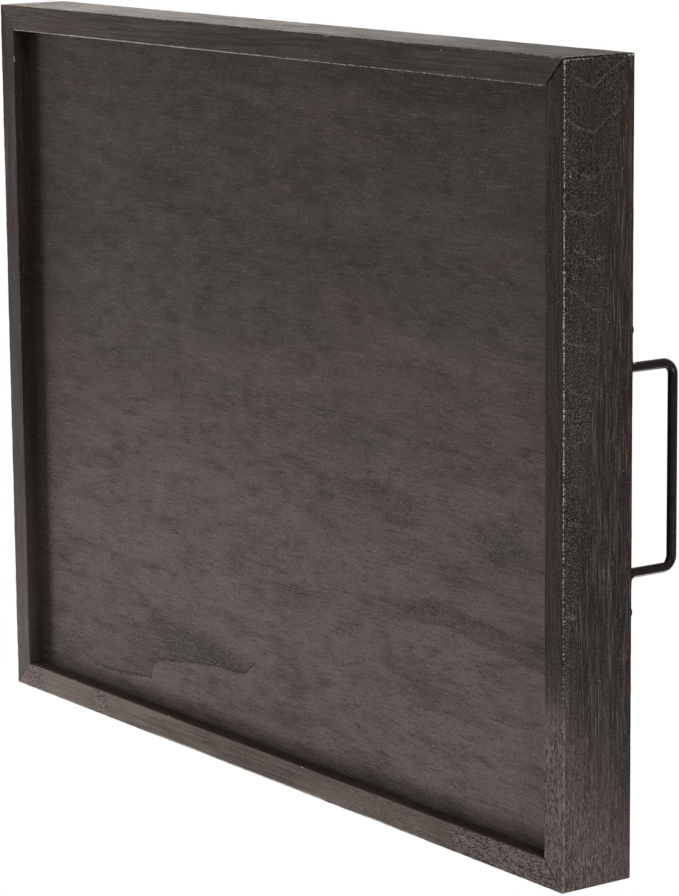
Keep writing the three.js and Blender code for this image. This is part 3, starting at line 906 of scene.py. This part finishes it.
def stained_panel():
    """Stained rotary-cut veneer: soft clouds of colour stretched along the tray, a paler and banded stretch
    towards the front, a rubbed corner, the sheet's own marks on its underside, and short fibres. The paler
    front is partly the veneer's own and partly painted light, lighter towards the front for the light from
    below and in front."""
    wood = Finish("stained_panel_veneer")
    where = wood.place()
    p = wood.sway(where, 9.0, 95, 45)
    along, across, height = wood.split(where)
    under = wood.ease(height, 11.0, 10.0)

    cloud = wood.noise(wood.stretch(p, 130, 36), 3)
    hue = wood.noise(wood.stretch(p, 62, 21), 3, 0.6)
    mottle = wood.noise(wood.stretch(p, 14, 6), 3)
    bands = wood.noise(wood.stretch(p, 120, 15), 2)
    fibres = wood.noise(wood.stretch(p, 3.0, 0.6), 3, 0.7, 0.3)
    grit = wood.noise(wood.stretch(p, 0.9, 0.65), 2, 0.7)
    threads = wood.noise(wood.stretch(p, 13, 0.9), 3, 0.7)
    dashes = wood.noise(wood.stretch(p, 4, 1.0), 1)

    colour = wood.blend(wood.ease(cloud, 0.34, 0.66), DEEP_VENEER, MIDDLE_VENEER)
    # Paler towards the front: partly the veneer's own, partly painted light from below and in front
    slope = wood.math("MULTIPLY_ADD", along, 0.13, across)
    leaf_and_light = wood.ease(wood.math("MULTIPLY_ADD", wood.math("SUBTRACT", cloud, 0.5), 60.0, slope), 104, -118)
    colour = wood.tint(colour, PALE_LEAF_AND_LIGHT, leaf_and_light, 0.92)
    colour = wood.tint(colour, RUBBED_VENEER, wood.near(along, across, RUBBED_CORNER, RUBBED_REACH), 0.42)
    colour = wood.blend(wood.ease(hue, 0.52, 0.70, 0.0, 0.28), colour, REDDISH_VENEER)
    colour = wood.blend(wood.ease(hue, 0.46, 0.30, 0.0, 0.45), colour, OLIVE_VENEER)
    banded = wood.ease(leaf_and_light, 0.0, 0.7, 0.3, 1.0)
    colour = wood.tint(colour, BAND_HOLLOW, wood.ease(bands, 0.50, 0.30, 0.0, 0.5), banded)
    colour = wood.tint(colour, BAND_CROWN, wood.ease(bands, 0.53, 0.70, 0.0, 0.38), banded)
    colour = wood.blend(wood.ease(mottle, 0.48, 0.28, 0.0, 0.34), colour, DARK_MOTTLE)
    colour = veneer_marks(wood, colour, p, along, across, under, fibres)

    grain = wood.ease(leaf_and_light, 0.0, 1.0, 0.5, 1.0)
    for strand, reach in ((fibres, 0.6), (threads, 0.6), (grit, 0.8)):
        colour = wood.tint(colour, RAISED_FIBRE, wood.ease(strand, 0.52, 0.72, 0.0, reach), grain)
        colour = wood.tint(colour, SUNK_FIBRE, wood.ease(strand, 0.48, 0.28, 0.0, reach), grain)
    colour = wood.blend(wood.ease(dashes, 0.26, 0.16, 0.0, 0.3), colour, DARK_DASH)
    colour = wood.tint(colour, PANEL_DUST, wood.specks(p, 15, 0.45), 0.7)

    rough = wood.ease(mottle, 0.3, 0.7, 0.74, 0.64)
    uneven = wood.bump(wood.math("MULTIPLY_ADD", fibres, 0.6, wood.times(threads, 0.4)), PANEL_RELIEF, 0.7)
    return wood.surface(Base_Color=colour, Roughness=rough, Specular_IOR_Level=WOOD_SHEEN, Normal=uneven)


FILLER_RELIEF = 0.05 * MM


def wood_filler(name, deep, light):
    """Dried filler or glue, rubbed with the stain: a little greyer and smoother than the wood round it."""
    pat = Finish(name)
    p = pat.place()
    grit = pat.noise(pat.stretch(p, 0.5, 0.5), 3)
    colour = pat.blend(pat.ease(grit, 0.35, 0.65), tone(deep, 0.89 * deep, 0.82 * deep),
                       tone(light, 0.89 * light, 0.81 * light))
    return pat.surface(Base_Color=colour, Roughness=0.7, Normal=pat.bump(grit, FILLER_RELIEF))


# Metal finishes

PAINT_SHEEN = 0.10
PAINT_RELIEF = 0.03 * MM
WIRE_RELIEF = 0.02 * MM


def black_coat(name, rubbed):
    """Black satin paint over steel: a fine orange-peel surface, uneven gloss, and faint rubbed patches."""
    paint = Finish(name)
    p = paint.place()
    peel = paint.noise(paint.stretch(p, 0.7, 0.7), 2)
    patch = paint.noise(paint.stretch(p, 14, 5), 3)
    dust = paint.noise(paint.stretch(p, 0.5, 0.5), 1)
    rubbed_tone = tone(rubbed, rubbed * 0.74, rubbed * 0.72)
    colour = paint.blend(paint.ease(patch, 0.35, 0.7), tone(20, 12, 12), rubbed_tone)
    colour = paint.blend(paint.ease(dust, 0.76, 0.82, 0.0, 0.3), colour, tone(60, 54, 50))
    rough = paint.ease(patch, 0.3, 0.7, 0.10, 0.17)
    uneven = paint.bump(peel, PAINT_RELIEF)
    return paint.surface(Base_Color=colour, Roughness=rough, Specular_IOR_Level=PAINT_SHEEN, Normal=uneven)


def drawn_steel():
    """Bright brad wire: drawing lines along its length and small dull spots."""
    wire = Finish("bright_brad_steel")
    p = wire.place()
    lines = wire.noise(wire.stretch(p, 0.2, 6, 0.2), 2)
    spots = wire.noise(wire.stretch(p, 0.8, 0.8), 2)
    colour = wire.blend(wire.ease(spots, 0.4, 0.65), tone(186, 184, 180), tone(140, 134, 126))
    rough = wire.ease(lines, 0.3, 0.7, 0.22, 0.42)
    uneven = wire.bump(lines, WIRE_RELIEF)
    return wire.surface(Base_Color=colour, Metallic=1.0, Roughness=rough, Normal=uneven)


# The pieces

FAINT = [(-230, 0.2), (230, 0.2)]
SHADED_STAINED_ARRIS = [(-230, -0.9), (230, -0.9)]  # dark stain on an arris, partly painted shade where the rounded rim edge is in shade
QUARTER = np.pi / 2

# How each rail is joined, worn and stained, with lengths in millimetres and along counted from its middle
# opens: how far the mitre at each end stands open at the outer and the inner face of the underside
# wear knots: (along, wear) for the arrises, in the order of ARRIS_SHARE; wear below zero is darkening,
# partly painted shade
# lean: how far the wear on the outer low arris leans in under the rail
# chips: (arris, along, half length, added radius), and tips: wear on the upright corner at each end
# zone: height, slope and softness of the line below which the face is flat cut
# pale: where paling starts and ends, its strength, its skew with height, and its lift below and elsewhere;
# the paling is partly the wood's own and partly painted light, lighter towards the lamps
# dark: share of red, green and blue below and elsewhere; the front rail's lift below is painted light
# pores: (first, last, strength) and saw: (first, last), stretches of the underside that show them
RAILS = {
    "long_rail_front": dict(
        side="front",
        shape=dict(
            half_run=TRAY_HALF_LENGTH, opens=((0.38, 0.32), (0.16, 0.14)), lean=0.5, tips=(0.5, 0.3),
            seed=100,
            wear_and_shade_knots=([(-230, 0.3), (-132, 0.3), (-125, 1.0), (-84, 1.0), (-76, 0.35), (-56, 0.4),
                         (-49, 1.1), (90, 1.1), (100, 0.4), (230, 0.4)], FAINT, FAINT, FAINT),
            chips=((0, -96, 9, 0.2), (0, 60, 5, 0.15), (1, 181, 1.2, 0.3), (1, 149, 0.9, 0.2),
                   (1, 86, 1.2, 0.3), (1, -36, 1.2, 0.3))),
        wood=dict(
            turn=0.0, offset=(0, 37, 5), zone=(-9, 0.04, 4), pale=(60, 240, 0.8, 0.0, (1.55, 1.0)),
            # the underside's lift is painted light, for the light from below and in front
            dark=((1.80, 1.79, 1.80), (1.1, 1.1, 1.1)), figure=0.2, saw=(-35, 62),
            pores=((-230, -148, 1.0), (-134, -70, 0.45), (138, 152, 1.0), (202, 220, 1.0)))),
    "long_rail_back": dict(
        side="back",
        shape=dict(
            half_run=TRAY_HALF_LENGTH, opens=((0.8, 0.65), (0.16, 0.14)), lean=0, tips=(1.3, 0.3), seed=200,
            wear_and_shade_knots=([(-230, 0.7), (-150, 0.5), (230, 0.5)],
                        [(-230, 0.6), (-75, 0.8), (0, 1.0), (100, 1.2), (170, 1.5), (185, 0.9), (230, 0.9)],
                        FAINT, SHADED_STAINED_ARRIS),
            chips=((0, -222, 3, 0.4), (0, -120, 2, 0.3), (0, -60, 2.5, 0.3))),
        wood=dict(
            turn=0.0, offset=(311, -53, -3), zone=(6, -0.03, 5), pale=(60, 240, 0.62, 0.0, (1.0, 1.0)),
            dark=((1.14, 1.13, 1.13), (1.0, 1.0, 1.0)), figure=0.4)),
    "short_rail_left": dict(
        side="left",
        shape=dict(
            half_run=TRAY_HALF_WIDTH, opens=((0.38, 0.32), (0.8, 0.65)), lean=0, tips=(0.3, 1.3), seed=300,
            wear_and_shade_knots=([(-178, 0.2), (-120, 0.4), (-95, 0.6), (-60, 0.7), (-20, 0.8), (5, 1.0), (65, 1.05),
                         (125, 0.9), (178, 0.7)], FAINT, FAINT, SHADED_STAINED_ARRIS),
            chips=((0, 174, 2, 0.4),)),
        wood=dict(
            turn=-QUARTER, offset=(0, 0, 0), zone=(11.9, 0.113, 3), pale=(-60, -150, 0.85, 1.5, (1.18, 1.0)),
            dark=((0.52, 0.44, 0.38), (0.69, 0.69, 0.68)), figure=1.0, pores=((-185, -100, 1.0),))),
    "short_rail_right": dict(
        side="right",
        shape=dict(
            half_run=TRAY_HALF_WIDTH, opens=((0.16, 0.14), (0.16, 0.14)), lean=0, tips=(0.3, 0.3), seed=400,
            wear_and_shade_knots=(FAINT, FAINT, FAINT, FAINT), chips=((1, 162, 1.8, 0.3),)),
        wood=dict(
            turn=-QUARTER, offset=(157, 91, 11), zone=(12, -0.05, 6), pale=(0, -150, 0.95, 0.0, (1.12, 1.0)),
            dark=((0.98, 0.95, 0.93), (0.98, 0.98, 0.98)), figure=0.35)),
}

for rail_name, rail in RAILS.items():
    rail_points, rail_wear_and_shade = worn_rail(**rail["shape"])
    rail_wood = stained_rail(rail_name + "_wood", **rail["wood"])
    add_piece(rail_name + "_wood", skin(lay_rail(rail_points, rail["side"])), rail_wood,
              rail_name, {"wear": rail_wear_and_shade})

add_piece("base_panel_veneer", skin(veneered_panel()), stained_panel(), "base_panel")

rod_paint = black_coat("black_rod_paint", 34)
screw_paint = black_coat("black_screw_paint", 42)
filler = wood_filler("brad_hole_filler", 46, 72)
# The mitre glue is near black: partly the glue's own colour, partly painted shade for the shaded inside of
# the open mitres
glue = wood_filler("mitre_glue_and_shade", 20, 34)
handle_plane = TRAY_HALF_LENGTH - RAIL_THICKNESS / 2
eye_y = GRIP_HALF_SPAN + EYE_OFFSET
for end_name, end in (("left", -1), ("right", 1)):
    add_piece(f"handle_{end_name}_rod", skin(rod_handle(end * handle_plane)), rod_paint,
              f"handle_{end_name}")
    for edge_name, edge in (("front", -1), ("back", 1)):
        add_piece(f"handle_screw_{end_name}_{edge_name}_driven",
                  cross_screw(end * handle_plane, edge * eye_y), screw_paint,
                  f"handle_screw_{end_name}_{edge_name}")
        opening = RAILS[f"long_rail_{edge_name}"]["shape"]["opens"][0 if end < 0 else 1]
        add_piece(f"mitre_glue_and_shade_{edge_name}_{end_name}", glue_line(end, edge, opening), glue)
        for level_name, level in (("low", BRAD_MARGIN), ("high", RAIL_HEIGHT - BRAD_MARGIN)):
            plug = filler_plug(end * (TRAY_HALF_LENGTH - BRAD_INSET), edge * TRAY_HALF_WIDTH, edge, level)
            add_piece(f"brad_filler_{edge_name}_{end_name}_{level_name}", plug, filler)

steel = drawn_steel()
for node_name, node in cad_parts.items():
    if node_name.startswith("corner_brad"):
        node.data.materials.clear()
        node.data.materials.append(steel)


# Stage, light and camera

FLOOR_DROP = 0.2 * MM  # keeps the floor just clear of the tray's lower faces
FLOOR_HALF_SIDE = 3.0
FLOOR_FADE = (0.7, 1.6)  # distances from the tray where the floor starts to thin and is gone
FLOOR_GRAIN = (9, 9, 9)
SURROUND_LEVEL = 0.12  # light that the surround sheds on the tray
WARM = (1.0, 0.93, 0.86)
CAMERA_PLACE = (-1.37772, 0.29480, -0.92597)
CAMERA_TURN = (168.5516, -54.6508, -179.0764)  # degrees
CAMERA_LENS = 144.866  # millimetres, as is the sensor's width
SENSOR_WIDTH = 36


def pale_floor():
    """A pale floor, seen from above only, that thins out to the white surround far from the tray."""
    paint = Finish("pale_floor")
    where = paint.add("ShaderNodeTexCoord", {}).outputs["Object"]
    far = paint.add("ShaderNodeVectorMath", {0: where}, operation="LENGTH").outputs["Value"]
    under = paint.add("ShaderNodeNewGeometry", {}).outputs["Backfacing"]
    away = paint.math("MAXIMUM", under, paint.ease(far, *FLOOR_FADE))
    cells = paint.add("ShaderNodeVectorMath", {0: where, 1: FLOOR_GRAIN}, operation="MULTIPLY").outputs[0]
    colour = paint.blend(paint.noise(cells), tone(232, 231, 229), tone(238, 237, 235))
    matt = paint.add("ShaderNodeBsdfDiffuse", {"Color": colour}).outputs[0]
    clear = paint.add("ShaderNodeBsdfTransparent", {}).outputs[0]
    mixed = paint.add("ShaderNodeMixShader", {0: away, 1: matt, 2: clear}).outputs[0]
    paint.add("ShaderNodeOutputMaterial", {"Surface": mixed})
    mesh = bpy.data.meshes.new("floor")
    corner = FLOOR_HALF_SIDE
    mesh.from_pydata([(-corner, -corner, -FLOOR_DROP), (corner, -corner, -FLOOR_DROP),
                      (corner, corner, -FLOOR_DROP), (-corner, corner, -FLOOR_DROP)], [], [(0, 1, 2, 3)])
    mesh.materials.append(paint.material)
    floor = bpy.data.objects.new("floor", mesh)
    bpy.context.scene.collection.objects.link(floor)
    floor.visible_diffuse = False
    floor.visible_glossy = False
    floor.visible_transmission = False
    floor.visible_shadow = False


def studio_surround():
    """A plain surround that sheds a dim even light, and is white to the camera and in every gloss."""
    world = bpy.data.worlds.new("studio")
    bpy.context.scene.world = world
    sky = Steps(world)
    ray = sky.add("ShaderNodeLightPath", {}).outputs
    mirrored = sky.math("MAXIMUM", ray["Is Glossy Ray"], ray["Is Transmission Ray"])
    seen = sky.math("MAXIMUM", ray["Is Camera Ray"], mirrored)
    strength = sky.math("MAXIMUM", seen, SURROUND_LEVEL)
    light = sky.add("ShaderNodeBackground", {"Color": (1, 1, 1, 1), "Strength": strength}).outputs[0]
    sky.add("ShaderNodeOutputWorld", {"Surface": light})


def soft_lamp(name, place, aim, size, watts, colour=(1, 1, 1)):
    """A rectangular soft lamp that faces a point of the tray."""
    lamp = bpy.data.lights.new(name, "AREA")
    lamp.shape = "RECTANGLE"
    lamp.size, lamp.size_y = size
    lamp.energy = watts
    lamp.color = colour
    holder = bpy.data.objects.new(name, lamp)
    bpy.context.scene.collection.objects.link(holder)
    holder.location = place
    holder.rotation_euler = (Vector(aim) - Vector(place)).to_track_quat("-Z", "Y").to_euler()
    holder.visible_camera = False


def photo_camera():
    """The camera, below and to the left of the tray, with the back rail at the top of its picture."""
    lens = bpy.data.cameras.new("camera")
    lens.sensor_width = SENSOR_WIDTH
    lens.lens = CAMERA_LENS
    camera = bpy.data.objects.new("camera", lens)
    bpy.context.scene.collection.objects.link(camera)
    camera.location = CAMERA_PLACE
    camera.rotation_euler = Euler(np.radians(CAMERA_TURN))
    bpy.context.scene.camera = camera


pale_floor()
studio_surround()
soft_lamp("low_front_softbox", (2.54, -1.85, -1.60), (0, 0, 0), (0.80, 0.90), 54)
soft_lamp("low_strip_softbox", (2.80, -0.50, -1.03), (0, 0, 0), (0.70, 1.70), 36)
soft_lamp("side_softbox", (-1.30, -0.60, 0.12), (-0.2, 0, 0.02), (0.60, 0.60), 9.0)
soft_lamp("side_fill_softbox", (-1.30, 0.92, -0.34), (-0.2, 0, 0.02), (0.16, 0.16), 4.5)
soft_lamp("backdrop_softbox", (1.50, 0.35, 0.72), (0, 0.1, 0.02), (0.90, 0.90), 21, WARM)
soft_lamp("high_front_softbox", (-0.10, -1.50, 1.05), (0, 0, 0), (1.0, 1.0), 20)
soft_lamp("overhead_softbox", (0.60, 0.40, 1.70), (0, 0, 0), (1.2, 1.2), 12)
photo_camera()
bpy.context.scene.view_settings.view_transform = "Standard"
